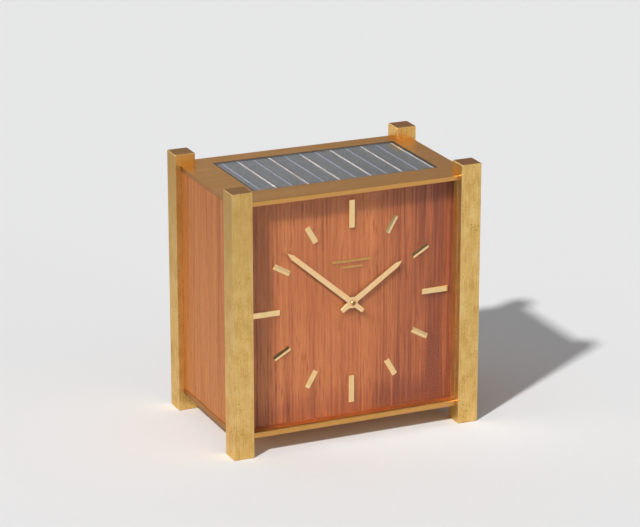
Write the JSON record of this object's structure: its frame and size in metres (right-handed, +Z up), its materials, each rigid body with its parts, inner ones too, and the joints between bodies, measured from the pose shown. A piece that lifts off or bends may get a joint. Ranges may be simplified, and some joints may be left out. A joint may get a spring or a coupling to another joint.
{
  "type": "desk clock",
  "caption": "Free-standing light-powered desk clock: four square brass posts, wood panels and dial, a window of solar cells in the top and a geared movement inside.",
  "frame": {"origin": "on the floor, in the middle of the footprint of the four posts", "axes": "+Z up, -Y towards the viewer of the dial, +X to that viewer's right"},
  "size_m": [0.172, 0.11, 0.176],
  "materials": {
    "case_brass": "brushed, with a light patina",
    "plate_brass": "satin",
    "panel_wood": "matt oiled, grain upright",
    "dial_wood": "matt oiled, grain upright",
    "batten_wood": "sawn",
    "gilt_brass": "gilt, satin",
    "movement_brass": "lacquered",
    "steel": "turned",
    "spring_steel": "blued",
    "front_glass": "clear, polished",
    "cell_glass": "clear, polished",
    "gasket_rubber": "matt",
    "cell_silicon": "polished crystal with a dark coating",
    "ribbon_tin": "tinned",
    "tray_plastic": "moulded",
    "motor_metal": "drawn can",
    "magnet_ferrite": "sintered",
    "cell_sleeve": "lacquered sleeve",
    "board_laminate": "paper laminate",
    "component_lacquer": "lacquered",
    "lead_insulation": "drawn"
  },
  "bodies": {
    "case": {"post_front_left": "case_brass", "post_front_right": "case_brass", "post_rear_left": "case_brass", "post_rear_right": "case_brass", "top_plate": "plate_brass", "base_plate": "plate_brass", "side_panel_left": "panel_wood", "side_panel_right": "panel_wood", "front_glass": "front_glass", "case_screws": "steel", "dial_panel": "dial_wood", "dial_battens": "batten_wood", "hour_markers": "gilt_brass", "dial_bars": "gilt_brass", "cell_cover_glass": "cell_glass", "cell_gasket": "gasket_rubber", "solar_cells": "cell_silicon", "cell_ribbons": "ribbon_tin", "cell_tray": "tray_plastic", "hinge_pins": "movement_brass", "catch_magnet": "magnet_ferrite", "movement_front_plate": "movement_brass", "movement_back_plate": "movement_brass", "movement_pillars": "movement_brass", "movement_screws": "steel", "movement_feet": "movement_brass", "pallet_bridge": "movement_brass", "hairspring_stud": "steel", "winding_motor": "motor_metal", "motor_bracket": "steel", "battery_holder": "tray_plastic", "battery_contacts": "movement_brass", "accumulator_cells": "cell_sleeve", "charging_board": "board_laminate", "board_components": "component_lacquer", "wiring": "lead_insulation"},
    "minute_hand": {"minute_hand": "gilt_brass", "hand_nut": "gilt_brass", "cannon_pinion": "movement_brass"},
    "hour_hand": {"hour_hand": "gilt_brass", "hour_wheel": "movement_brass"},
    "minute_wheel": {"minute_wheel": "movement_brass"},
    "setting_knob": {"setting_arbor": "steel", "setting_knob": "movement_brass"},
    "escape_wheel": {"escape_wheel": "movement_brass"},
    "fourth_wheel": {"fourth_wheel": "movement_brass"},
    "third_wheel": {"third_wheel": "movement_brass"},
    "centre_wheel": {"centre_wheel": "movement_brass"},
    "barrel": {"barrel": "movement_brass", "barrel_cover": "movement_brass", "mainspring": "spring_steel"},
    "winding_arbor": {"barrel_arbor": "steel"},
    "motor_shaft": {"motor_pinion": "steel"},
    "pallet_fork": {"pallet_fork": "steel"},
    "balance": {"balance_wheel": "movement_brass", "hairspring": "spring_steel"},
    "rear_door": {"rear_door": "panel_wood", "door_knob": "movement_brass", "hinge_sleeves": "movement_brass", "catch_plate": "steel"}
  },
  "joints": [
    {"name": "minute_hand_turn", "type": "hinge", "parent": "case", "child": "minute_hand", "pos_m": [0, -0.0465, 0.0912], "axis": [0, 1, 0], "continuous": true},
    {"name": "hour_hand_turn", "type": "hinge", "parent": "case", "child": "hour_hand", "pos_m": [0, -0.0455, 0.0912], "axis": [0, 1, 0], "continuous": true},
    {"name": "minute_wheel_turn", "type": "hinge", "parent": "case", "child": "minute_wheel", "pos_m": [0.012, -0.034, 0.0912], "axis": [0, 1, 0], "continuous": true},
    {"name": "setting_knob_turn", "type": "hinge", "parent": "case", "child": "setting_knob", "pos_m": [0.018, 0.02, 0.08081], "axis": [0, 1, 0], "continuous": true},
    {"name": "escape_wheel_turn", "type": "hinge", "parent": "case", "child": "escape_wheel", "pos_m": [0.02206, -0.02, 0.10906], "axis": [0, 1, 0], "continuous": true},
    {"name": "fourth_wheel_turn", "type": "hinge", "parent": "case", "child": "fourth_wheel", "pos_m": [0.00965, -0.02, 0.11358], "axis": [0, 1, 0], "continuous": true},
    {"name": "third_wheel_turn", "type": "hinge", "parent": "case", "child": "third_wheel", "pos_m": [-0.00313, -0.02, 0.10893], "axis": [0, 1, 0], "continuous": true},
    {"name": "centre_wheel_turn", "type": "hinge", "parent": "case", "child": "centre_wheel", "pos_m": [0, -0.02, 0.0912], "axis": [0, 1, 0], "continuous": true},
    {"name": "barrel_turn", "type": "hinge", "parent": "case", "child": "barrel", "pos_m": [-0.01697, -0.02, 0.07423], "axis": [0, 1, 0], "continuous": true},
    {"name": "motor_shaft_turn", "type": "hinge", "parent": "case", "child": "motor_shaft", "pos_m": [-0.00797, -0.006, 0.08982], "axis": [0, 1, 0], "continuous": true},
    {"name": "winding_arbor_turn", "type": "hinge", "parent": "case", "child": "winding_arbor", "pos_m": [-0.01697, -0.006, 0.07423], "axis": [0, 1, 0], "continuous": true},
    {"name": "pallet_fork_rock", "type": "hinge", "parent": "case", "child": "pallet_fork", "pos_m": [0.02506, -0.024, 0.10387], "axis": [0, 1, 0], "range_deg": [-5, 5]},
    {"name": "balance_swing", "type": "hinge", "parent": "case", "child": "balance", "pos_m": [0.02906, -0.018, 0.09694], "axis": [0, 1, 0], "range_deg": [-270, 270], "stiffness_Nm_per_rad": 0.00002, "deforming": ["hairspring"]},
    {"name": "rear_door_hinge", "type": "hinge", "parent": "case", "child": "rear_door", "pos_m": [-0.0692, 0.0485, 0.0912], "axis": [0, 0, 1], "range_deg": [0, 90]}
  ],
  "couplings": [
    {"joint": "minute_wheel_turn", "follows": "minute_hand_turn", "ratio": -0.33333},
    {"joint": "hour_hand_turn", "follows": "minute_hand_turn", "ratio": 0.083333},
    {"joint": "setting_knob_turn", "follows": "minute_hand_turn", "ratio": 1},
    {"joint": "fourth_wheel_turn", "follows": "escape_wheel_turn", "ratio": -0.1},
    {"joint": "third_wheel_turn", "follows": "escape_wheel_turn", "ratio": 0.013333},
    {"joint": "centre_wheel_turn", "follows": "escape_wheel_turn", "ratio": -0.0016667},
    {"joint": "barrel_turn", "follows": "escape_wheel_turn", "ratio": 0.0002381},
    {"joint": "winding_arbor_turn", "follows": "motor_shaft_turn", "ratio": -0.2}
  ]
}
